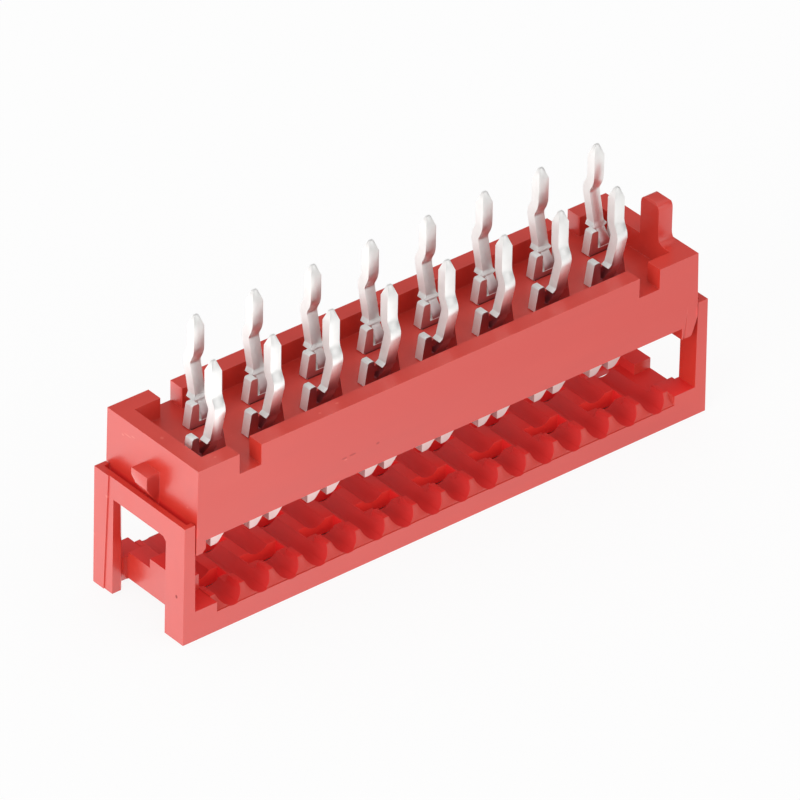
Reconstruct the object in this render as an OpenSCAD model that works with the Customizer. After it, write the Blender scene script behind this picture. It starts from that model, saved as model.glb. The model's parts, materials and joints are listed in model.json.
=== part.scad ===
// Two-row insulation-displacement connector for flat ribbon cable.
// It stands on its cable cover, with the solder tails up and the cover still open.
// Origin: middle of the underside of the cover. X runs along the row, Y across, Z up.

/* [Contact rows] */
// Number of contacts, front and back rows together
ways = 16; // [8:2:20]
// Distance between neighbouring wires of the ribbon
wire_pitch = 1.27; // [1.27:0.01:1.5]
// Distance of each row of blades from the middle plane
blade_offset = 0.81; // [0.75:0.01:0.9]

/* [Contact] */
// Thickness of the sheet metal
metal_t = 0.38; // [0.3:0.01:0.4]
// Width of the forked blade
blade_w = 1.44; // [1.3:0.01:1.5]
// Height of the fork tips above the underside of the cover
fork_tip_z = 2.33; // [2.2:0.01:2.4]
// Width of the wire slot between the prongs
slot_w = 0.26; // [0.2:0.01:0.4]
// Length of the wire slot above the fork tips
slot_l = 1.7; // [1.2:0.05:2]
// Width of the flat end of each prong
tip_flat = 0.3; // [0.2:0.01:0.35]
// Height of the slanted lead-in at one side of each prong
tip_rise = 0.34; // [0.2:0.01:0.45]
// Reach of the blend between the flat end and the lead-in
tip_blend = 0.14; // [0.08:0.01:0.18]
// Width over the feet of the shoulders, which seat on the floor of the well
seat_w = 1.59; // [1.55:0.01:1.65]
// Width over the tops of the shoulders
crown_w = 1.31; // [1.25:0.01:1.4]
// Width of the top of each shoulder
shoulder_w = 0.29; // [0.25:0.01:0.31]
// Height of the shoulders above the underside of the cover
shoulder_z = 7; // [6.9:0.01:7.1]
// Bevel at both corners of a shoulder
shoulder_bevel = 0.05; // [0.02:0.01:0.08]
// Depth of the notches between the shoulders and the neck
notch_d = 0.73; // [0.68:0.01:0.75]
// Width of the neck below the barbs of the tail
neck_w = 0.36; // [0.3:0.01:0.4]
// Width of the foot of the neck, between the notches
neck_foot_w = 0.5; // [0.42:0.01:0.6]
// Width of the solder tail
tail_w = 0.45; // [0.4:0.01:0.5]
// Width over the barbs at the foot of the tail
barb_w = 0.67; // [0.55:0.01:0.7]
// Distance of the barbs below the top of the shoulders
barb_drop = 0.1; // [0.08:0.01:0.16]
// Height of the slope above the barbs
barb_slope = 0.15; // [0.1:0.01:0.3]
// Height of the undercut below the barbs
barb_under = 0.05; // [0.02:0.01:0.08]
// Outward step from the blade to the bend above its neck
foot_out = 0.37; // [0.3:0.01:0.42]
// Distance of that bend below the top of the shoulders
foot_drop = 0.14; // [0.05:0.01:0.2]
// Outward step from the blade to the kink of the tail
kink_out = 0.71; // [0.6:0.01:0.75]
// Outward step from the blade to the straight end of the tail
tail_out = 0.48; // [0.4:0.01:0.5]
// Distance of the kink below the tail's end
kink_drop = 1.83; // [1.7:0.01:2]
// Height over which the tail comes back in above the kink
kink_h = 0.43; // [0.4:0.01:0.6]
// Reach of the blends at the bends of the tail
tail_blend = 0.18; // [0.1:0.01:0.19]
// Height of the tail above the board face of the rim
tail_above_rim = 3.22; // [3.1:0.01:3.6]
// Height of the taper at the end of the tail
taper_h = 0.4; // [0.25:0.01:0.5]
// Inward reach of that taper on each side
taper_in = 0.14; // [0.05:0.01:0.14]

/* [Housing] */
// Width of the housing
housing_w = 5.01; // [4.95:0.01:5.3]
// Distance from the outermost contact to the end face of the housing
end_margin = 1.58; // [1.55:0.01:1.7]
// Height of the board face of the rim
rim_z = 6.88; // [6.85:0.01:6.95]
// Depth of the well behind the rim
well_d = 0.81; // [0.7:0.01:0.85]
// Height of the housing's underside
underside_z = 3.97; // [3.9:0.01:4.1]
// Draft of the end faces, outward from the rim down to the underside
end_lean = 0.08; // [0:0.01:0.1]
// Thickness of the long rim walls
rim_wall = 0.665; // [0.6:0.005:0.68]
// Free gap between the outermost contact and the rim at the plain end
rim_gap = 0.14; // [0.1:0.01:0.18]
// Free gap between the outermost contact and the rim at the end with the locating post
rim_post_gap = 0.03; // [0.02:0.005:0.08]
// Length of the end block below the locating post
block_l = 0.715; // [0.6:0.005:0.75]
// Length of the end block at the plain end
plain_block_l = 0.405; // [0.35:0.005:0.5]
// Bevel at the inner edge of the plain end block
plain_bevel = 0.15; // [0.1:0.01:0.2]
// Drop of the end blocks below the underside
block_drop = 0.47; // [0.3:0.01:0.5]
// Width of the slanted outer corner of the longer end block
corner_l = 0.27; // [0.15:0.01:0.35]
// Height of the slanted outer corner of the longer end block
corner_h = 0.74; // [0.5:0.01:0.85]
// Reach of the blend below the slanted corner
corner_blend = 0.12; // [0.05:0.01:0.15]
// Distance from the end face to the foot of the crease in the front face
crease_end = 0.52; // [0.45:0.01:0.6]
// Height of the crease above the underside of the end block
crease_h = 1.22; // [0.8:0.01:1.3]
// Width of the crease at its foot
crease_w = 0.15; // [0.08:0.01:0.2]
// Lean of the crease towards the end face, in degrees
crease_lean = 5.4; // [0:0.1:8]
// Width of the drain notches in the rim
drain_w = 0.94; // [0.7:0.01:1]
// Distance from the end face to the near side of a drain notch
drain_end = 1.765; // [1.75:0.005:1.8]
// Free gap around a blade in its cavity
cavity_gap = 0.03; // [0.02:0.005:0.05]

/* [Locating post] */
// Size of the post along the row
post_l = 0.64; // [0.5:0.01:0.7]
// Size of the post across the row
post_w = 0.97; // [0.8:0.01:1.2]
// Height of the post above the rim
post_h = 1.58; // [1.2:0.01:1.8]
// Distance of the post's middle in front of the middle plane
post_front = 0.705; // [0.5:0.005:0.8]
// Reach of the rounding at the front and back of the post's top
post_round = 0.3; // [0.15:0.01:0.32]
// Bevel at the sides of the post's top
post_bevel = 0.06; // [0.03:0.01:0.1]
// Reach of the blend at the front foot of the post
post_foot = 0.38; // [0.2:0.01:0.4]

/* [Snap noses] */
// Width of a snap nose
nose_w = 0.86; // [0.7:0.01:1]
// Reach of a snap nose beyond the end face
nose_reach = 0.58; // [0.5:0.01:0.6]
// Height of the top of the nose above the top of the cover
nose_rise = 1.02; // [0.95:0.01:1.1]
// Height of the upright face of the nose
nose_face = 0.5; // [0.4:0.01:0.6]
// Height of the slanted underside of the nose
nose_slant = 0.9; // [0.85:0.01:0.92]
// Cut at the back lower corner of the nose
nose_corner = 0.22; // [0.1:0.01:0.3]

/* [Cover] */
// Width of the cover
cover_w = 4.95; // [4.9:0.01:5.1]
// Height of the end walls
cover_h = 4.75; // [4.7:0.01:4.8]
// Free gap between the foot of the housing's end faces and each end wall
end_gap = 0.03; // [0.02:0.005:0.1]
// Thickness of the end walls at the foot
end_wall = 0.525; // [0.5:0.005:0.6]
// Draft of the outer face of the end walls over their height
end_draft = 0.08; // [0:0.01:0.1]
// Reach of the slanted lead-in at the top of the end walls, inward
lead_in_l = 0.22; // [0.15:0.01:0.25]
// Height of the slanted lead-in at the top of the end walls
lead_in_h = 0.25; // [0.2:0.01:0.3]
// Distance of the lead-in from the front and back faces of the end walls
lead_in_end = 0.2; // [0.1:0.01:0.3]
// Projection of the back post of each end wall
pad_out = 0.04; // [0.02:0.01:0.08]
// Width of the projecting back post at its foot
pad_w = 0.58; // [0.5:0.01:0.65]
// Growth of the projecting back post towards its top
pad_flare = 0.2; // [0.1:0.01:0.3]
// Width of the rails and of the legs at the ends
rail_w = 1.02; // [0.95:0.01:1.1]
// Reach of the bevel along the inner foot of the rails
rail_bevel = 0.5; // [0.3:0.01:0.6]
// Height of the outer edge of the rails
rail_h = 0.8; // [0.7:0.01:0.85]
// Height of the ridges between the wire grooves
ridge_h = 1.22; // [1.1:0.01:1.24]
// Width of the level ledge in front of the ridges
ridge_ledge = 0.07; // [0.04:0.01:0.1]
// Length of the slanted outer ends of the ridges
ridge_slant = 0.32; // [0.25:0.01:0.4]
// Radius of the wire grooves
groove_r = 0.53; // [0.5:0.005:0.58]
// Height of the bottom of the wire grooves
groove_h = 0.765; // [0.74:0.005:0.78]
// Height of the level stops at both ends of the rails
stop_h = 1.19; // [1.15:0.01:1.22]
// Length of the level stops
stop_l = 0.95; // [0.85:0.01:1]
// Height of the top bar of the end walls
bar_h = 0.87; // [0.8:0.01:0.95]
// Cut at the upper front corner of the end windows
window_corner = 0.15; // [0.1:0.01:0.2]
// Bevel at the inner side edges of the end windows
window_bevel = 0.145; // [0.1:0.005:0.2]
// Height of the underside of the floor
floor_z = 0.34; // [0.25:0.01:0.4]
// Thickness of the floor
floor_t = 0.63; // [0.6:0.01:0.7]
// Free gap between the floor and each end wall
floor_gap = 0.2; // [0.1:0.01:0.3]
// Height of the raised side stop for the cable at the plain end
stop_hi = 1.8; // [1.6:0.01:2]
// Height of the lower back part of that stop
stop_lo = 1.42; // [1.3:0.01:1.5]
// Height of the side stop for the cable at the end with the post
stop_far = 1.4; // [1.2:0.01:1.5]
// Distance of the step of the side stops from the middle plane
stop_step = 0.29; // [0.2:0.01:0.4]
// Free gap around the fork tips in the floor slots
tip_gap = 0.07; // [0.05:0.01:0.1]

/* [Hidden] */
eps = 0.01;
over = 1;
sink = 0.1;
bend_steps = 5;
per_row = ways / 2;
row_pitch = 2 * wire_pitch;

// Housing: ends, levels and inner faces
half_l = wire_x(ways) + end_margin;
half_w = housing_w / 2;
well_z = rim_z - well_d;
well_x0 = wire_x(1) - seat_w / 2 - rim_gap;
well_x1 = wire_x(ways) + seat_w / 2 + rim_post_gap;
well_half_w = half_w - rim_wall;
block_z = underside_z - block_drop;
foot_half_l = half_l + end_lean;

// Cover: ends and levels
inner_half_l = foot_half_l + end_gap;
cover_half_l = inner_half_l + end_wall;
cover_half_w = cover_w / 2;
rail_in = cover_half_w - rail_w;
floor_half_l = inner_half_l - floor_gap;
floor_top = floor_z + floor_t;
window_z = cover_h - bar_h;
stop_x = inner_half_l - stop_l;
groove_z = groove_h + groove_r;

// Contact: levels of the blade and the path of the tail, as [outward, height]
tail_top = rim_z + tail_above_rim;
kink_z = tail_top - kink_drop;
notch_z = shoulder_z - notch_d;
barb_z = shoulder_z - barb_drop;
seat_z = well_z + cavity_gap;
fork_top = fork_tip_z + slot_l;
tail_path = [
    [0, notch_z - 2 * tail_blend],
    [0, notch_z],
    [foot_out, shoulder_z - foot_drop],
    [kink_out, kink_z],
    [tail_out, kink_z + kink_h],
    [tail_out, tail_top - taper_h],
    [tail_out, tail_top]
];

function contact_name(i) = str("contact_", i < 10 ? "0" : "", i);
function wire_x(i) = (i - (ways + 1) / 2) * wire_pitch;
// Odd contacts stand in front of the middle plane and even ones behind it
function row_side(i) = i % 2 == 1 ? -1 : 1;

function unit(v) = v / norm(v);
function left_of(v) = [-v[1], v[0]];

// Quadratic blend of one corner of a path, reaching r along both sides
function bend(a, b, c, r) =
    let (p = b + r * unit(a - b), q = b + r * unit(c - b))
    [for (k = [0 : bend_steps]) let (t = k / bend_steps) (1 - t) * (1 - t) * p + 2 * t * (1 - t) * b + t * t * q];

// Path with blended bends, whose last stretch stays straight
function smooth(path, r) = concat(
    [path[0]],
    [for (k = [1 : len(path) - 3]) each bend(path[k - 1], path[k], path[k + 1], r)],
    [path[len(path) - 2], path[len(path) - 1]]
);

function side_dir(path, k) =
    let (a = path[max(k - 1, 0)], b = path[min(k + 1, len(path) - 1)])
    left_of(unit(b - a));

// Outline of a strip of thickness t that follows a path, with another thickness at its end
function strip(path, t, t_end) =
    let (last = len(path) - 1, half = [for (k = [0 : last]) (k == last ? t_end : t) / 2])
    concat(
        [for (k = [0 : last]) path[k] + half[k] * side_dir(path, k)],
        [for (k = [last : -1 : 0]) path[k] - half[k] * side_dir(path, k)]
    );

function mirror_x(points) = [for (k = [len(points) - 1 : -1 : 0]) [-points[k][0], points[k][1]]];

// Draws a flat outline given as [x, z], standing from y0 to y1
module upright_xz(y0, y1) {
    translate([0, y1, 0])
        rotate([90, 0, 0])
            linear_extrude(y1 - y0)
                children();
}

// Draws a flat outline given as [y, z], standing from x0 to x1
module upright_yz(x0, x1) {
    translate([x0, 0, 0])
        rotate([90, 0, 90])
            linear_extrude(x1 - x0)
                children();
}

module box(x0, x1, y0, y1, z0, z1) {
    translate([x0, y0, z0])
        cube([x1 - x0, y1 - y0, z1 - z0]);
}

module both_ends() {
    children();
    mirror([1, 0, 0]) children();
}

module both_sides() {
    children();
    mirror([0, 1, 0]) children();
}

module contact(i) {
    color("gainsboro")
        translate([wire_x(i), row_side(i) * blade_offset, 0])
            rotate([0, 0, row_side(i) > 0 ? 0 : 180])
                contact_shape();
}

// One contact with its blade in the plane y = 0 and its tail stepping out towards +y
module contact_shape() {
    upright_xz(-metal_t / 2, metal_t / 2) blade_outline();
    intersection() {
        upright_yz(-blade_w / 2, blade_w / 2)
            polygon(strip(smooth(tail_path, tail_blend), metal_t, metal_t - 2 * taper_in));
        upright_xz(-metal_t, kink_out + metal_t) tail_outline();
    }
}

// End of one prong, from the top of its lead-in at x = high to the far side of its flat end at x = low
function prong_end(high, low) =
    let (
        top = [high, fork_tip_z + tip_rise],
        corner = [low - tip_flat, fork_tip_z],
        end = [low, fork_tip_z]
    )
    concat([top], bend(top, corner, end, tip_blend), [end]);

module blade_outline() {
    notch_x = crown_w / 2 - shoulder_w;
    shoulder = [
        [blade_w / 2, seat_z],
        [seat_w / 2, seat_z],
        [crown_w / 2, shoulder_z - shoulder_bevel],
        [crown_w / 2 - shoulder_bevel, shoulder_z],
        [notch_x + shoulder_bevel, shoulder_z],
        [notch_x, shoulder_z - shoulder_bevel],
        [notch_x, notch_z]
    ];
    polygon(concat(
        [[slot_w / 2, fork_top]],
        prong_end(slot_w / 2, blade_w / 2),
        shoulder,
        mirror_x(shoulder),
        prong_end(-blade_w / 2, -slot_w / 2),
        [[-slot_w / 2, fork_top]]
    ));
}

module tail_outline() {
    half = [
        [neck_foot_w / 2, notch_z - over],
        [neck_foot_w / 2, notch_z],
        [neck_w / 2, barb_z - barb_under],
        [barb_w / 2, barb_z],
        [tail_w / 2, barb_z + barb_slope],
        [tail_w / 2, tail_top - taper_h],
        [tail_w / 2 - taper_in, tail_top]
    ];
    polygon(concat(half, mirror_x(half)));
}

module housing() {
    color("firebrick") {
        difference() {
            union() {
                housing_body();
                both_ends() snap_nose();
                locating_post();
            }
            box(well_x0, well_x1, -well_half_w, well_half_w, well_z, rim_z + over);
            both_ends() drain_notches();
            end_corner();
            front_crease();
            for (i = [1 : ways]) cavity(i);
        }
    }
}

// Body with leaning end faces and with a block below each end, between the end walls of the cover
module housing_body() {
    x0 = plain_block_l - foot_half_l;
    x1 = foot_half_l - block_l;
    upright_xz(-half_w, half_w)
        polygon([
            [-half_l, rim_z],
            [-foot_half_l, underside_z],
            [-foot_half_l, block_z],
            [x0 - plain_bevel, block_z],
            [x0, block_z + plain_bevel],
            [x0, underside_z],
            [x1, underside_z],
            [x1, block_z],
            [foot_half_l, block_z],
            [foot_half_l, underside_z],
            [half_l, rim_z]
        ]);
}

// Slanted outer corner of the longer end block, which leads it into the cover
module end_corner() {
    inner = [foot_half_l - block_l, block_z];
    foot = [foot_half_l - corner_l, block_z];
    shoulder = [foot_half_l, block_z + corner_h];
    upright_xz(-half_w - over, half_w + over)
        polygon(concat(
            bend(inner, foot, shoulder, corner_blend),
            [shoulder, shoulder + [over, 0], foot + [over, -over], foot + [-corner_blend, -over]]
        ));
}

// Slanted crease in the front face at the end with the locating post, fading out upwards
module front_crease() {
    side = crease_w / sqrt(2);
    translate([half_l - crease_end, -half_w, block_z])
        rotate([atan(crease_w / 2 / crease_h), crease_lean, 0])
            rotate([0, 0, 45])
                translate([-side / 2, -side / 2, -sink])
                    cube([side, side, crease_h + 2 * sink]);
}

module snap_nose() {
    top = cover_h + nose_rise;
    face_z = top - nose_face;
    root_z = face_z - nose_slant;
    difference() {
        upright_xz(-nose_w / 2, nose_w / 2)
            polygon([
                [half_l - sink, root_z],
                [half_l, root_z],
                [half_l + nose_reach, face_z],
                [half_l + nose_reach, top],
                [half_l - sink, top]
            ]);
        upright_yz(foot_half_l, half_l + nose_reach + over)
            polygon([
                [nose_w / 2 - nose_corner, root_z - over],
                [nose_w / 2 - nose_corner, face_z],
                [nose_w / 2, face_z + nose_corner],
                [nose_w / 2 + over, face_z + nose_corner],
                [nose_w / 2 + over, root_z - over]
            ]);
    }
}

module locating_post() {
    top = rim_z + post_h;
    front = -post_front - post_w / 2;
    back = -post_front + post_w / 2;
    intersection() {
        upright_xz(front - over, back + over)
            polygon([
                [well_x1, well_z],
                [well_x1, top - post_bevel],
                [well_x1 + post_bevel, top],
                [well_x1 + post_l - post_bevel, top],
                [well_x1 + post_l, top - post_bevel],
                [well_x1 + post_l, well_z]
            ]);
        upright_yz(well_x1, half_l)
            polygon(concat(
                [[back, well_z]],
                bend([back, well_z], [back, top], [front, top], post_round),
                bend([back, top], [front, top], [front, rim_z], post_round),
                bend([front, top], [front, rim_z], [front - over, rim_z], post_foot),
                [[front - post_foot, well_z]]
            ));
    }
}

module drain_notches() {
    x1 = half_l - drain_end;
    box(x1 - drain_w, x1, -half_w - over, half_w + over, well_z, rim_z + over);
}

// Through cavity of one contact, a close slot for its blade
module cavity(i) {
    x = blade_w / 2 + cavity_gap;
    y = metal_t / 2 + cavity_gap;
    translate([wire_x(i), row_side(i) * blade_offset, 0])
        box(-x, x, -y, y, block_z - over, rim_z);
}

module cover() {
    color("firebrick") {
        difference() {
            union() {
                both_sides() rail();
                box(-floor_half_l, floor_half_l, -rail_in - eps, rail_in + eps, floor_z, floor_top);
                side_stops();
                both_ends() end_wall();
                both_ends() proud_post();
            }
            both_ends() window_edges();
            for (i = [1 : ways]) wire_groove(i);
            for (i = [1 : ways]) tip_slot(i);
        }
    }
}

// Rail along the back: upright outer edge, then slanted ridge ends, with level stops at both ends
module rail() {
    upright_yz(-inner_half_l - eps, inner_half_l + eps)
        polygon([
            [rail_in, floor_z],
            [rail_in + rail_bevel, 0],
            [cover_half_w, 0],
            [cover_half_w, rail_h],
            [rail_in, rail_h]
        ]);
    upright_yz(-stop_x, stop_x)
        polygon([
            [rail_in, floor_z],
            [cover_half_w, floor_z],
            [cover_half_w, rail_h],
            [cover_half_w - ridge_ledge, rail_h],
            [cover_half_w - ridge_ledge - ridge_slant, ridge_h],
            [rail_in, ridge_h]
        ]);
    both_ends()
        box(stop_x, inner_half_l + eps, rail_in, cover_half_w, floor_z, stop_h);
}

module wire_groove(i) {
    translate([wire_x(i), 0, groove_z])
        rotate([90, 0, 0])
            cylinder(r = groove_r, h = cover_w + over, center = true, $fn = 48);
}

// Raised stops on the floor beside the outermost wires of the cable
module side_stops() {
    base = floor_top - eps;
    box(-floor_half_l, -stop_x, -rail_in - eps, stop_step, base, stop_hi);
    box(-floor_half_l, -stop_x, stop_step - eps, rail_in + eps, base, stop_lo);
    box(stop_x, floor_half_l, -stop_step, rail_in + eps, base, stop_far);
}

module tip_slot(i) {
    x = blade_w / 2 + tip_gap;
    y = metal_t / 2 + tip_gap;
    translate([wire_x(i), row_side(i) * blade_offset, 0])
        box(-x, x, -y, y, floor_z - over, ridge_h + over);
}

module end_wall() {
    difference() {
        upright_xz(-cover_half_w, cover_half_w)
            polygon([
                [inner_half_l, 0],
                [cover_half_l, 0],
                [cover_half_l - end_draft, cover_h],
                [inner_half_l, cover_h]
            ]);
        upright_xz(lead_in_end - cover_half_w, cover_half_w - lead_in_end)
            polygon([
                [inner_half_l + lead_in_l, cover_h],
                [inner_half_l, cover_h - lead_in_h],
                [inner_half_l - over, cover_h - lead_in_h],
                [inner_half_l - over, cover_h + over],
                [inner_half_l + lead_in_l, cover_h + over]
            ]);
        upright_yz(inner_half_l - over, cover_half_l + over)
            polygon([
                [-rail_in, -over],
                [-rail_in, window_z - window_corner],
                [-rail_in + window_corner, window_z],
                [rail_in, window_z],
                [rail_in, -over]
            ]);
    }
}

// Bevels at the inner side edges of an end window, running on into the rails beside the floor
module window_edges() {
    wide = rail_in + window_bevel;
    translate([0, 0, -over])
        linear_extrude(window_z - window_corner + over)
            polygon([
                [floor_half_l, -wide],
                [inner_half_l, -wide],
                [inner_half_l + window_bevel, -rail_in],
                [inner_half_l + window_bevel, rail_in],
                [inner_half_l, wide],
                [floor_half_l, wide]
            ]);
}

// Back post of each end wall, which stands a little proud of the rest of it
module proud_post() {
    intersection() {
        upright_xz(-cover_half_w, cover_half_w)
            polygon([
                [inner_half_l + lead_in_l, 0],
                [cover_half_l + pad_out, 0],
                [cover_half_l + pad_out - end_draft, cover_h],
                [inner_half_l + lead_in_l, cover_h]
            ]);
        upright_yz(0, cover_half_l + over)
            polygon([
                [cover_half_w - pad_w, 0],
                [cover_half_w, 0],
                [cover_half_w, cover_h],
                [cover_half_w - pad_w - pad_flare, cover_h]
            ]);
    }
}

housing();
cover();
for (i = [1 : ways])
    contact(i);
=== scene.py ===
# %% [markdown]
# # A ribbon-cable connector with its cable cover held open
#
# The object is a small two-row connector: a red moulded housing, sixteen tinned
# contacts with kinked solder tails, and a grooved cover that the housing rests on.
# The solid model is loaded first and stays as it is. Each solid is copied, its
# edges are rounded as its mould or press rounds them, and the copies get their
# finishes. Sizes are written in millimetres, because the whole part is only
# 24 mm long, and they are turned into metres where Blender needs them.

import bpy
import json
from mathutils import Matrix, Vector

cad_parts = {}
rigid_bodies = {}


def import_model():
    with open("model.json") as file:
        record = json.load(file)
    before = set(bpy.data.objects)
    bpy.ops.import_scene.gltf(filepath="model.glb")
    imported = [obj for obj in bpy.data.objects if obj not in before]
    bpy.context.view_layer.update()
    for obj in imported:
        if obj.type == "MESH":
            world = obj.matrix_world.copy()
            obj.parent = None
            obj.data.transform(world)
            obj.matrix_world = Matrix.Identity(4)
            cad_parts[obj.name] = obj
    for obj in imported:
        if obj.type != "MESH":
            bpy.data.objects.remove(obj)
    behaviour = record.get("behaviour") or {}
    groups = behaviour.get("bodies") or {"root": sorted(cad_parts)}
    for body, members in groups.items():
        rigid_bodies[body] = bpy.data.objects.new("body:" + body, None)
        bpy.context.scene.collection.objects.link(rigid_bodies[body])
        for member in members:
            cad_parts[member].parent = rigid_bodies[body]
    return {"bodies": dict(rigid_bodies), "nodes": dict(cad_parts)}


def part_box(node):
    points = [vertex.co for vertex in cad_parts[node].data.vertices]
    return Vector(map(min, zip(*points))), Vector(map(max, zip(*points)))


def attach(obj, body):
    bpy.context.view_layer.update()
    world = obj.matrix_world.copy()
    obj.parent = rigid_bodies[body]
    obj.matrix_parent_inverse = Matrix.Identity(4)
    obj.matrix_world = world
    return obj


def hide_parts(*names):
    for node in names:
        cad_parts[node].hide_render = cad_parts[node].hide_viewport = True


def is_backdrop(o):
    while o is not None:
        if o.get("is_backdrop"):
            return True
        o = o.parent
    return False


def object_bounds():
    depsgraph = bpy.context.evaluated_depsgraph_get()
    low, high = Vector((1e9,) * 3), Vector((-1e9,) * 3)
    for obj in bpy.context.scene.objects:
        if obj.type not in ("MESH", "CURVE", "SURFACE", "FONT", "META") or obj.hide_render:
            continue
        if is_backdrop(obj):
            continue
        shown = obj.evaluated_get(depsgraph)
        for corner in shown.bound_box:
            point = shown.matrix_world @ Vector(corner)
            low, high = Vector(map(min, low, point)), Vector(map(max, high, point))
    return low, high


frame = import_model()
model_low, model_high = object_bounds()
print("solids:", len(frame["nodes"]))
print("box in mm:", [round(v * 1000, 2) for v in model_high - model_low])

# %% Tools and units
import json
import math

import bmesh
import bpy
from mathutils import Matrix, Vector

MM = 0.001
BODY = list(frame["bodies"])[0]
CONTACTS = sorted(name for name in frame["nodes"] if name.startswith("contact_"))
print("body:", BODY, "contacts:", len(CONTACTS))

# %% [markdown]
# ## The camera
#
# The photograph was taken from far away with a long lens, from above the left
# front corner. A long lens keeps the rows of contacts nearly parallel. The
# camera's axes are given as three directions, which also hold its slight roll.

# %% Camera
CAMERA_PLACE = Vector((-155.736, -186.555, 165.187)) * MM
TO_THE_RIGHT = Vector((0.77434, -0.63260, 0.01468))
DOWNWARDS = Vector((-0.34036, -0.43596, -0.83312))
INTO_THE_PICTURE = Vector((0.53343, 0.64013, -0.55289))

camera_data = bpy.data.cameras.new("long_lens")
camera_data.sensor_width = 36
camera_data.lens = 379.04
camera_data.clip_start = 0.01
camera_data.clip_end = 20
camera = bpy.data.objects.new("camera", camera_data)
bpy.context.scene.collection.objects.link(camera)
turn = Matrix((TO_THE_RIGHT, -DOWNWARDS, -INTO_THE_PICTURE)).transposed()
camera.matrix_world = Matrix.Translation(CAMERA_PLACE) @ turn.to_4x4()
bpy.context.scene.camera = camera
distance = (CAMERA_PLACE - (model_low + model_high) / 2).length
print("camera to object in mm:", round(distance / MM, 1))

# %% [markdown]
# ## Writing a finish as a formula
#
# A finish is a small network of shader nodes. Wiring it by hand is slow to read,
# so one class wraps a socket and lets Python's own signs add the Math nodes.
# A second class holds one node tree and adds every other kind of node, and a
# third adds what only a material needs.

# %% A socket that understands arithmetic
class Value:
    """One output socket of a node tree, on which + - * and ** add Math nodes."""

    def __init__(self, nodes, socket):
        self.nodes, self.socket = nodes, socket

    def _maths(self, operation, first, second):
        return self.nodes.node("Math", {"operation": operation}, {0: first, 1: second})

    def __add__(self, other):
        return self._maths("ADD", self, other)

    def __sub__(self, other):
        return self._maths("SUBTRACT", self, other)

    def __rsub__(self, other):
        return self._maths("SUBTRACT", other, self)

    def __mul__(self, other):
        return self._maths("MULTIPLY", self, other)

    def __pow__(self, other):
        return self._maths("POWER", self, other)

    __radd__ = __add__
    __rmul__ = __mul__


# %% A node tree to which nodes are added by name
class Nodes:
    """Adds nodes to one tree and joins them."""

    def __init__(self, tree):
        self.tree = tree

    def feed(self, socket, value):
        """Links a Value to a socket, or writes a plain number or colour into it."""
        if isinstance(value, Value):
            self.tree.links.new(value.socket, socket)
        else:
            socket.default_value = value

    def node(self, kind, settings=None, sockets=None, out=0):
        """Adds one node: its settings first, then the values or links of its sockets."""
        made = self.tree.nodes.new("ShaderNode" + kind)
        for name, value in (settings or {}).items():
            setattr(made, name, value)
        for name, value in (sockets or {}).items():
            self.feed(made.inputs[name], value)
        return Value(self, made.outputs[out])

    def ray(self, kind):
        """1 where the light path is of this kind, such as Camera or Glossy."""
        return self.node("LightPath", out="Is " + kind + " Ray")

    def along(self, axis, vector):
        """One coordinate of a vector: X, Y or Z."""
        return self.node("SeparateXYZ", sockets={"Vector": vector}, out=axis)

    def step(self, value, low, high):
        """Rises smoothly from 0 at low to 1 at high."""
        return self.node(
            "MapRange", {"interpolation_type": "SMOOTHSTEP"},
            {"Value": value, "From Min": low, "From Max": high},
        )


# %% A material
class Finish(Nodes):
    """A new material with a Principled shader."""

    MARK_CORE = 0.55  # the share of a mark's reach over which it is at full strength

    def __init__(self, name, **fixed):
        self.material = bpy.data.materials.new(name)
        self.material.use_nodes = True
        super().__init__(self.material.node_tree)
        self.shader = self.tree.nodes["Principled BSDF"]
        for socket, value in fixed.items():
            self.give(socket.replace("_", " "), value)

    def give(self, socket, value):
        """Feeds one socket of the shader."""
        self.feed(self.shader.inputs[socket], value)

    def mix(self, factor, first, second):
        """Blends two colours."""
        return self.node("Mix", {"data_type": "RGBA"}, {0: factor, 6: first, 7: second}, out=2)

    def place(self, scale=(1, 1, 1)):
        """The point's own place on the object, in millimetres, stretched by scale."""
        spot = self.node("TexCoord", out="Object")
        return self.node("Mapping", sockets={"Vector": spot, "Scale": [s / MM for s in scale]})

    def mark(self, centre, reach):
        """1 in a small ellipsoid at centre, with its reach along each axis, in millimetres."""
        away = self.node("VectorMath", {"operation": "SUBTRACT"}, {0: self.place(), 1: centre})
        away = self.node("VectorMath", {"operation": "DIVIDE"}, {0: away, 1: reach})
        distance = self.node("VectorMath", {"operation": "LENGTH"}, {0: away}, out="Value")
        return 1 - self.step(distance, self.MARK_CORE, 1.0)

    def flag(self, name):
        """A value that was written on the faces of the piece."""
        return self.node("Attribute", {"attribute_name": name}, out="Fac")

    def noise(self, scale, detail=2.0, stretch=(1, 1, 1), distortion=0.0):
        """Noise with the given number of bumps per millimetre."""
        vector = self.place(stretch)
        sockets = {"Vector": vector, "Scale": scale, "Detail": detail, "Distortion": distortion}
        return self.node("TexNoise", sockets=sockets)

    def relief(self, height, strength, depth):
        """Bumps the surface by height, with the depth in millimetres."""
        sockets = {"Height": height, "Strength": strength, "Distance": depth * MM}
        self.give("Normal", self.node("Bump", sockets=sockets, out="Normal"))


print("finish tools ready")
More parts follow.
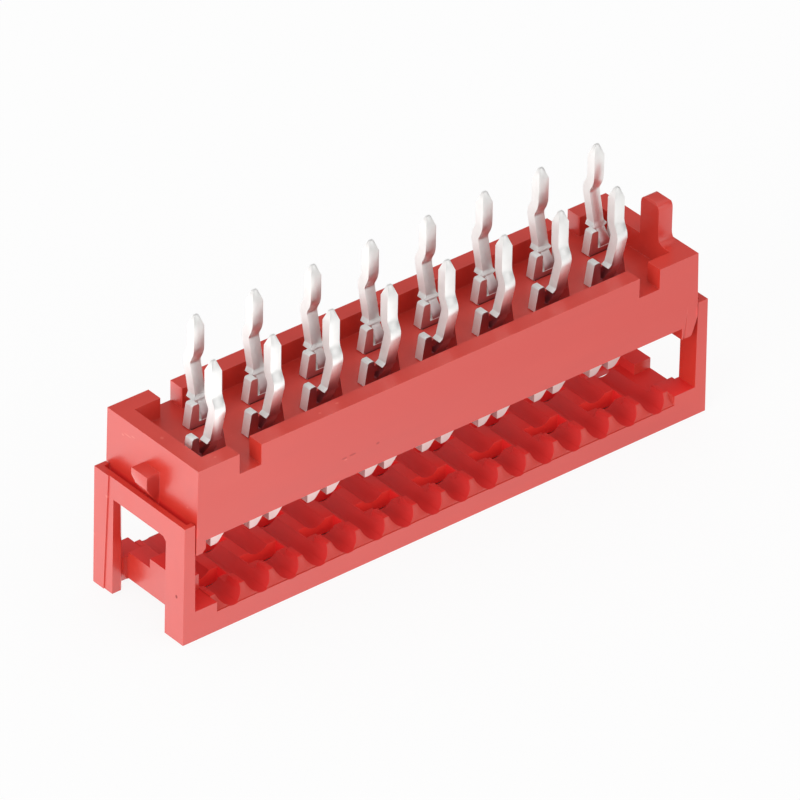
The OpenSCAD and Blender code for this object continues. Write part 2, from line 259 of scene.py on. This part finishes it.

# %% [markdown]
# ## Red moulded plastic
#
# The plastic is a saturated red with a soft gloss. Most of the pale sheen in the
# photograph is the white floor reflected in upright faces, so the colour itself
# stays deep. Slow flow marks run along the part, the gloss varies a little, and
# moulded edges are slightly paler, partly rubbed and partly a painted highlight.
# The inside of the cover has a duller skin and a painted deep red shade, and its
# wire grooves get a darker painted shade.

# %% Colours of the red plastic
RED = (0.66, 0.040, 0.026, 1)
RED_FLOW = (0.69, 0.048, 0.031, 1)
RED_DEEP = (0.61, 0.033, 0.022, 1)
# paler red of nicks, flecks and edges; on the bevels it is partly a painted highlight
RED_RUBBED_AND_HIGHLIT = (0.76, 0.12, 0.09, 1)
# painted shade: a deeper, purer red for the recess of the cover and a darker one for its wire
# grooves
RED_INNER_SHADE = (0.86, 0.025, 0.020, 1)
RED_HOLLOW_SHADE = (0.72, 0.021, 0.018, 1)
# dark red of the specks, and of the painted shade on the noses' front sides
RED_SPECK_AND_SHADE = (0.30, 0.004, 0.003, 1)
print("reds of the skin, its flow marks and its inside:", RED, RED_FLOW, RED_INNER_SHADE)

# %% [markdown]
# Small marks sit where the photograph shows them: pale nicks and a scratch, dark
# specks, and a painted deep red shade on the front side of the two noses that hold
# the cover. Each mark is a centre and its reach along X, Y and Z in millimetres.

# %% Marks on the housing
HOUSING_NICKS = [
    ((-10.95, 1.62, 6.23), (0.50, 0.09, 0.050)),
    ((-10.95, 1.36, 6.33), (0.50, 0.28, 0.035)),
    ((-10.95, 1.06, 6.42), (0.50, 0.14, 0.035)),
    ((-11.00, -1.97, 5.18), (0.50, 0.07, 0.05)),
    ((-10.80, -0.12, 6.88), (0.08, 0.09, 0.30)),
    ((-10.10, -2.13, 6.88), (0.07, 0.06, 0.30)),
    ((-4.81, -2.10, 6.88), (0.08, 0.06, 0.30)),
    ((-5.65, -2.22, 6.88), (0.07, 0.06, 0.30)),
    ((-4.72, -2.50, 4.74), (0.08, 0.30, 0.03)),
]
HOUSING_SPECKS = [
    ((-4.42, -2.50, 4.83), (0.18, 0.30, 0.05)),
    ((-4.78, -2.50, 4.82), (0.14, 0.30, 0.04)),
    ((-3.31, -2.50, 4.84), (0.09, 0.30, 0.06)),
]
# painted shade on the front side of each nose
NOSE_SHADES = [((side * 11.45, -0.43, 5.25), (0.45, 0.05, 0.70)) for side in (-1, 1)]
print("marks on the housing:", len(HOUSING_NICKS) + len(HOUSING_SPECKS) + len(NOSE_SHADES))

# %% Marks on the cover
COVER_NICKS = [
    ((-11.75, 2.45, 1.97), (0.20, 0.08, 0.07)),
    ((-11.75, 1.76, 3.86), (0.20, 0.10, 0.07)),
    ((-5.05, -2.05, 1.15), (0.07, 0.07, 0.12)),
]
COVER_SPECKS = [((-11.75, -2.08, 1.82), (0.20, 0.07, 0.09))]
print("marks on the cover:", len(COVER_NICKS) + len(COVER_SPECKS))

# %% [markdown]
# The real plastic lets some light through, so its narrow slots and the gaps at
# the ends of the housing glow a pure red where plain plastic would render nearly
# black. Light that travels inside a solid is slow to compute. A weak glow in just
# those places stands in for it. Its outlines are crisper than those of real light,
# and seen through the end windows the slots are vivid patches.

# %% Glow of the narrow places
NO_GLOW = (0, 0, 0, 1)
RED_GLOW = (0.14, 0.004, 0.005, 1)
END_GAPS = [((side * 11.17, 0, 4.42), (0.2, 4.0, 0.42)) for side in (-1, 1)]


def feed_glow(finish, gaps):
    """Lets the flagged slots and the given gaps glow."""
    glow = finish.mix(finish.flag("slot"), NO_GLOW, RED_GLOW)
    for centre, reach in gaps:
        glow = finish.mix(finish.mark(centre, reach), glow, RED_GLOW)
    finish.give("Emission Color", glow)


print("glowing gaps:", len(END_GAPS))

# %% [markdown]
# The noises set how large each variation is: clouds of several millimetres,
# streaks drawn out along the part, pale flecks, and a fine grain. The two
# mouldings get slightly different scales, so that they don't match each other.

# %% Red plastic
CLOUD_SCALE, FLOW_SCALE, FLECK_SCALE, GRAIN_SCALE = 0.22, 1.1, 5.5, 26
DEEP_SHARE, FLECK_SHARE, INNER_SHADE_SHARE, NICK_SHARE = 0.45, 0.35, 0.9, 0.8
SMOOTHEST, EXTRA_DULL = 0.27, 0.25


def red_plastic(name, seed, nicks, specks_and_shades, gaps=()):
    """The finish of one moulding. Each dark speck and each painted shade is a centre, a reach
    and a strength.
    """
    finish = Finish(name, IOR=1.56, Coat_Roughness=0.22, Coat_IOR=1.5, Emission_Strength=1.0)
    cloud = finish.noise(CLOUD_SCALE + seed, 3.0, (0.5, 1, 1), 0.6)
    flow = finish.noise(FLOW_SCALE + seed, 2.0, (0.12, 1, 0.8))
    grain = finish.noise(GRAIN_SCALE, 3.0)
    fleck = finish.step(finish.noise(FLECK_SCALE + seed, 1.0), 0.79, 0.84)
    # painted highlight: every bevel face is paler, partly as wear and partly as a highlight
    # painted along the edges
    worn_and_highlit = finish.flag("rubbed_and_highlit") * (0.2 + 0.5 * grain)
    # painted shade: the recess and grooves of the cover get a deep red and a duller skin
    dull_and_shaded = finish.flag("inner")
    colour = finish.mix(finish.step(cloud, 0.35, 0.7), RED, RED_FLOW)
    colour = finish.mix(finish.step(flow, 0.45, 0.8) * DEEP_SHARE, colour, RED_DEEP)
    colour = finish.mix(worn_and_highlit, colour, RED_RUBBED_AND_HIGHLIT)
    colour = finish.mix(fleck * FLECK_SHARE, colour, RED_RUBBED_AND_HIGHLIT)
    colour = finish.mix(dull_and_shaded * INNER_SHADE_SHARE, colour, RED_INNER_SHADE)
    colour = finish.mix(finish.flag("hollow_shade") * INNER_SHADE_SHARE, colour, RED_HOLLOW_SHADE)
    for centre, reach in nicks:
        colour = finish.mix(finish.mark(centre, reach) * NICK_SHARE, colour, RED_RUBBED_AND_HIGHLIT)
    # dark specks, and the painted shade on the noses, deepen the red and dull the skin
    for centre, reach, strength in specks_and_shades:
        dark_mark = finish.mark(centre, reach) * strength
        colour = finish.mix(dark_mark, colour, RED_SPECK_AND_SHADE)
        dull_and_shaded = dull_and_shaded + (1 - dull_and_shaded) * dark_mark
    finish.give("Base Color", colour)
    finish.give("Roughness", SMOOTHEST + 0.10 * cloud + 0.05 * grain + EXTRA_DULL * dull_and_shaded)
    finish.give("Coat Weight", (0.35 + 0.25 * flow) * (1 - dull_and_shaded))
    finish.relief(0.7 * cloud + 0.25 * flow + 0.04 * grain, 0.35, 0.012)
    feed_glow(finish, gaps)
    return finish.material


# %% Finishes of the two mouldings
FAINT, STRONG = 0.5, 1.0
housing_specks_and_shades = [(*mark, FAINT) for mark in HOUSING_SPECKS + NOSE_SHADES]
cover_dark_specks = [(*mark, STRONG) for mark in COVER_SPECKS]
housing_red = red_plastic("housing_red", 0.0, HOUSING_NICKS, housing_specks_and_shades, END_GAPS)
cover_red = red_plastic("cover_red", 0.05, COVER_NICKS, cover_dark_specks)
print("made", housing_red.name, "and", cover_red.name)

# %% [markdown]
# ## Tin-plated contacts
#
# The contacts are stamped from thin strip and plated with bright tin. The strip's
# rolled faces are smooth, and the sheared edges are rougher and catch the light.
# Deep in the well the bright tin mirrors only dark red walls, so there a painted
# dark red reflection tones its colour down, and the fork tips in the cover get a
# painted duller pink shade. The back row stands nearer to its bright wall, so its
# painted dark zone ends lower.

# %% Colours and heights of the tin
TIN = (0.89, 0.885, 0.87, 1)
TIN_DULL = (0.80, 0.79, 0.77, 1)
# painted dark red reflection and shade of the well
TIN_WELL_SHADE = (0.46, 0.17, 0.19, 1)
# painted shade of the fork tips inside the cover
TIN_TIP_SHADE = (0.70, 0.56, 0.54, 1)
WELL_DARK, WELL_CLEAR = 6.75, 7.95
BACK_ROW_LIFT = 0.75
TIP_FULL_SHADE, TIP_CLEAR = 3.4, 4.2
WELL_SHARE = 0.85
print("heights in mm at which the tin clears:", TIP_CLEAR, WELL_CLEAR)


# %% Tin plate
def tin_plate(name):
    """The finish of every contact."""
    finish = Finish(name)
    drawn = finish.noise(3.2, 3.0, (1, 1, 0.22))
    cloud = finish.noise(1.6, 2.0)
    grain = finish.noise(38, 2.0)
    sheared = finish.flag("sheared")
    height = finish.along("Z", finish.place())
    lifted = height + BACK_ROW_LIFT * finish.flag("back_row")
    # painted reflection and shade: low in the well and on the front row's necks the tin is toned
    # to a dark red
    well_shade = (1 - finish.step(lifted, WELL_DARK, WELL_CLEAR)) * (1 - sheared)
    # painted shade: the fork tips inside the cover are toned to a duller pink
    tip_shade = 1 - finish.step(height, TIP_FULL_SHADE, TIP_CLEAR)
    colour = finish.mix(finish.step(cloud, 0.4, 0.75) * 0.6, TIN, TIN_DULL)
    colour = finish.mix(WELL_SHARE * well_shade, colour, TIN_WELL_SHADE)
    colour = finish.mix(WELL_SHARE * finish.flag("neck_shade"), colour, TIN_WELL_SHADE)
    colour = finish.mix(tip_shade * (0.7 + 0.5 * cloud), colour, TIN_TIP_SHADE)
    finish.give("Base Color", colour)
    finish.give("Metallic", 1 - 0.6 * sheared)
    finish.give("Roughness", 0.33 + 0.10 * drawn + 0.08 * sheared)
    finish.relief(0.5 * drawn + 0.2 * cloud + 0.3 * grain * (1 + sheared), 0.1, 0.004)
    return finish.material


contact_tin = tin_plate("contact_tin")
print("made", contact_tin.name)

# %% [markdown]
# ## Rounded copies of the solids
#
# A mould or a stamping tool never leaves a perfectly sharp edge. The solid's mesh
# is copied, its loose triangles are merged and joined into flat faces, and the
# sharp edges are bevelled. Each bevel face is marked, so that the finish can make
# the edges paler, partly as wear and partly as a painted highlight. Other faces
# get other marks in the same way.

# %% Copy a solid and round its edges
SHARP = math.radians(32)
FLAT = math.radians(0.4)
SAME_POINT = 0.0005


def merged_copy(node):
    """A bmesh of one solid with its triangles merged into flat faces."""
    shape = bmesh.new()
    shape.from_mesh(frame["nodes"][node].data)
    bmesh.ops.remove_doubles(shape, verts=shape.verts, dist=SAME_POINT * MM)
    bmesh.ops.dissolve_limit(
        shape, angle_limit=FLAT, verts=shape.verts, edges=shape.edges, delimit={"NORMAL"}
    )
    return shape


def round_edges(shape, radius, segments=2):
    """Bevels the sharp edges by a radius in millimetres and marks the new faces for paler edges,
    partly wear and partly a painted highlight.
    """
    rubbed_and_highlit = shape.faces.layers.float.new("rubbed_and_highlit")
    edges = [e for e in shape.edges if e.is_manifold and abs(e.calc_face_angle_signed()) > SHARP]
    made = bmesh.ops.bevel(
        shape, geom=edges, offset=radius * MM, offset_type="OFFSET", segments=segments,
        profile=0.5, affect="EDGES", clamp_overlap=True, material=-1,
    )
    for face in made["faces"]:
        face[rubbed_and_highlit] = 1.0
    return len(edges)


# %% Mark faces and finish a piece
def flag_faces(shape, name, chosen):
    """Writes 1 on the faces for which chosen answers yes, and 0 on the others."""
    layer = shape.faces.layers.float.new(name)
    for face in shape.faces:
        face[layer] = 1.0 if chosen(face.calc_center_median() / MM, face.normal) else 0.0


def finish_piece(shape, name, node, material):
    """Turns a bmesh into a piece that stands for a solid and stays within its box."""
    low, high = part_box(node)
    for vert in shape.verts:
        vert.co = [min(max(at, least), most) for at, least, most in zip(vert.co, low, high)]
    mesh = bpy.data.meshes.new(name)
    for face in shape.faces:
        face.smooth = True
    shape.to_mesh(mesh)
    shape.free()
    mesh.set_sharp_from_angle(angle=SHARP)
    mesh.materials.append(material)
    piece = bpy.data.objects.new(name, mesh)
    bpy.context.scene.collection.objects.link(piece)
    flat = piece.modifiers.new("flat_faces", "WEIGHTED_NORMAL")
    flat.keep_sharp = True
    flat.weight = 80
    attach(piece, BODY)
    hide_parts(node)
    return piece


print("rounding tools ready")

# %% [markdown]
# ## The housing
#
# The housing is the thickest moulding, so it has the largest rounding. It could be
# built again from extruded outlines, but a copy of the solid keeps the size of
# every wall, nose and notch, so the copy is only softened.

# %% Housing
HOUSING_EDGE = 0.045
shape = merged_copy("housing")
rounded = round_edges(shape, HOUSING_EDGE, 3)
housing = finish_piece(shape, "housing_moulding", "housing", housing_red)
print("housing edges rounded:", rounded, "faces:", len(housing.data.polygons))

# %% [markdown]
# ## The cover
#
# Three kinds of faces of the cover are marked for painted light: its recess
# between the two rails and the wire grooves in that recess get a painted deep red
# shade, and the slots that let the forks' tips through get a painted glow. A
# face's middle, in millimetres, and its direction tell the kind, and the marks
# are written after the bevel, so that the bevel faces get them too.

# %% Which faces lie in the recess
UPRIGHT = 0.5
RECESS_END, RECESS_SIDE, RECESS_TOP = 11.1, 2.3, 1.9
FLOOR_TOP = 0.95
SLOT_END, SLOT_NEAR, SLOT_FAR = 10.6, 0.4, 1.2
WINDOW_SIDE = 9


def in_recess(centre, normal):
    """Whether a face lies inside the recess, apart from those towards a window."""
    within = abs(centre.x) < RECESS_END and abs(centre.y) < RECESS_SIDE
    towards_a_window = centre.x * normal.x > WINDOW_SIDE
    seen = normal.y > -UPRIGHT and normal.z > -UPRIGHT and not towards_a_window
    return within and centre.z < RECESS_TOP and seen


def in_groove(centre, normal):
    """Whether a face of the recess belongs to a groove for a wire."""
    along_the_wire = abs(normal.y) < 0.1 and normal.z > 0.1
    hollow_shade = normal.z < 0.99 or centre.z < FLOOR_TOP
    return in_recess(centre, normal) and along_the_wire and hollow_shade


def in_slot(centre, normal):
    """Whether a face is an upright wall of a slot for a fork's tips."""
    within = abs(centre.x) < SLOT_END and SLOT_NEAR < abs(centre.y) < SLOT_FAR
    return within and centre.z < FLOOR_TOP and abs(normal.z) < 0.3


print("recess in mm, to its ends, sides and top:", RECESS_END, RECESS_SIDE, RECESS_TOP)


# %% Cover
COVER_EDGE = 0.03
shape = merged_copy("cover")
rounded = round_edges(shape, COVER_EDGE)
flag_faces(shape, "slot", in_slot)
flag_faces(shape, "inner", in_recess)
flag_faces(shape, "hollow_shade", in_groove)
cover = finish_piece(shape, "cover_moulding", "cover", cover_red)
print("cover edges rounded:", rounded, "faces:", len(cover.data.polygons))

# %% [markdown]
# ## The contacts
#
# Each contact could be cut from a flat outline and bent, but the solid has its
# bends already. The thickness of the strip runs across the part, so the sheared
# edges are the faces that don't look to the front or the back. The front row's
# necks are narrow below their barbs, and the upright sides there lie in shade,
# which is painted into their colour.

# %% Which faces of a contact are sheared or in shade
ROLLED = 0.45
NECK_REACH, NECK_LOW, NECK_BARBS, NECK_HIGH = 0.45, 6.1, 6.5, 6.9


def in_notch(centre, normal, middle):
    """Whether a face is the upright side of a front contact's neck, below its barbs."""
    near = abs(centre.x - middle.x) < NECK_REACH and NECK_LOW < centre.z < NECK_HIGH
    return middle.y < 0 and near and (abs(normal.x) > 0.8 or centre.z < NECK_BARBS)


def is_sheared(centre, normal, middle):
    """Whether a face was cut by the stamping tool and stands in the light."""
    return abs(normal.y) < ROLLED and not in_notch(centre, normal, middle)


print("necks from", NECK_LOW, "to", NECK_HIGH, "mm")


# %% Contacts
CONTACT_EDGE = 0.025
for node in CONTACTS:
    shape = merged_copy(node)
    low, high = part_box(node)
    middle = (low + high) / 2 / MM
    rounded = round_edges(shape, CONTACT_EDGE)
    flag_faces(shape, "neck_shade", lambda centre, normal: in_notch(centre, normal, middle))
    flag_faces(shape, "sheared", lambda centre, normal: is_sheared(centre, normal, middle))
    flag_faces(shape, "back_row", lambda centre, normal: middle.y > 0)
    name = node.replace("contact", "tinned_contact")
    piece = finish_piece(shape, name, node, contact_tin)
print("edges rounded on each contact:", rounded, "faces:", len(piece.data.polygons))

# %% [markdown]
# ## Floor and light
#
# The part stands on a white sweep inside a light tent. The floor is a wide disc
# whose white is shown directly to the camera and to reflections, mixed with a lit
# share that keeps the object's soft shadow. It is brightest towards the left,
# where the main lamp stands, so the end faces carry the palest sheen. Right under
# the part only the lit share is left, so that white doesn't show through the slots,
# apart from a sliver at the right end, where that area stops short of the cover's.

# %% Floor
FLOOR_RADIUS = 3.0
floor_shape = bmesh.new()
bmesh.ops.create_circle(floor_shape, cap_ends=True, radius=FLOOR_RADIUS, segments=96)
floor_mesh = bpy.data.meshes.new("floor")
floor_shape.to_mesh(floor_mesh)
floor_shape.free()
floor = bpy.data.objects.new("floor", floor_mesh)
bpy.context.scene.collection.objects.link(floor)
floor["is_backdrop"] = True
print("floor radius in m:", FLOOR_RADIUS)

# %% Paper on the floor
FLOOR_WHITE = 0.9
LEFT_SHEEN = 0.9
SHEEN_BLEND = 0.02
UNDER_LENGTH = (0.0098, 0.0104)
UNDER_WIDTH = (0.0020, 0.0023)

paper = Finish("floor_paper", Base_Color=(0.88, 0.88, 0.88, 1), Roughness=0.9)
paper.give("Specular IOR Level", 0.0)
spot = paper.node("TexCoord", out="Object")
length = paper.along("X", spot)
width = paper.along("Y", spot)
inside_length = 1 - paper.step(length ** 2, *[edge ** 2 for edge in UNDER_LENGTH])
inside_width = 1 - paper.step(width ** 2, *[edge ** 2 for edge in UNDER_WIDTH])
seen = paper.ray("Camera") + paper.ray("Glossy") + paper.ray("Transmission")
share = paper.node("Math", {"operation": "MINIMUM"}, {0: seen, 1: 1.0}) * FLOOR_WHITE
share = share * (1 - inside_length * inside_width)
print("made", paper.material.name)

# %% Glow of the paper
left = 1 - paper.step(length, -SHEEN_BLEND, SHEEN_BLEND)
white = paper.node("Emission", sockets={"Strength": 1.0})
brighter = paper.node("Emission", sockets={"Strength": 1.0 + LEFT_SHEEN})
glow = paper.node("MixShader", sockets={0: left * paper.ray("Glossy"), 1: white, 2: brighter})
lit = Value(paper, paper.shader.outputs[0])
both = paper.node("MixShader", sockets={0: share, 1: lit, 2: glow})
paper.feed(paper.tree.nodes["Material Output"].inputs["Surface"], both)
floor_mesh.materials.append(paper.material)
print("floor ready")

# %% [markdown]
# The tent lights the part evenly from every side. Reflections see its walls dark
# and only its roof bright, which keeps the inside of the cover deep red, while a
# camera that looks past the floor still sees white.

# %% Tent
TENT = 0.8
TENT_LOW = 0.16
TENT_HIGH = 0.75
ROOF_STARTS, ROOF_FULL = 0.55, 0.85

world = bpy.data.worlds.new("tent")
bpy.context.scene.world = world
world.use_nodes = True
tent = Nodes(world.node_tree)
up = tent.along("Z", tent.node("TexCoord", out="Generated"))
mirrored = TENT_LOW + (TENT_HIGH - TENT_LOW) * tent.step(up, ROOF_STARTS, ROOF_FULL)
light = TENT + (mirrored - TENT) * tent.ray("Glossy")
light = light + (1 - light) * tent.ray("Camera")
background = tent.tree.nodes["Background"]
tent.feed(background.inputs["Strength"], light)
tent.feed(background.inputs["Color"], (1, 1, 1, 1))
print("tent ready")


# %% Soft lamps
def softbox(name, place, size, watts):
    """A square lamp that points at the object."""
    data = bpy.data.lights.new(name, "AREA")
    data.size = size
    data.energy = watts
    lamp = bpy.data.objects.new(name, data)
    lamp.location = Vector(place)
    lamp.rotation_euler = (-Vector(place)).to_track_quat("-Z", "Y").to_euler()
    bpy.context.scene.collection.objects.link(lamp)
    return lamp


left_lamp = softbox("softbox_left", (-0.50, -0.14, 0.19), 0.30, 1.1)
front_lamp = softbox("softbox_front", (0.24, -0.46, 0.19), 0.30, 0.35)
print("lamps ready:", left_lamp.name, front_lamp.name)

# %% [markdown]
# ## Closing
#
# The Standard view shows colours as they are written. The boxes of the solid
# model and of the finished pieces are written down, so that they can be compared.

# %% Picture settings
view = bpy.context.scene.view_settings
view.view_transform = "Standard"
print("view:", view.view_transform)

# %% Sizes
low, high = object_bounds()
print("visual box in mm:", [round(v / MM, 3) for v in high - low])
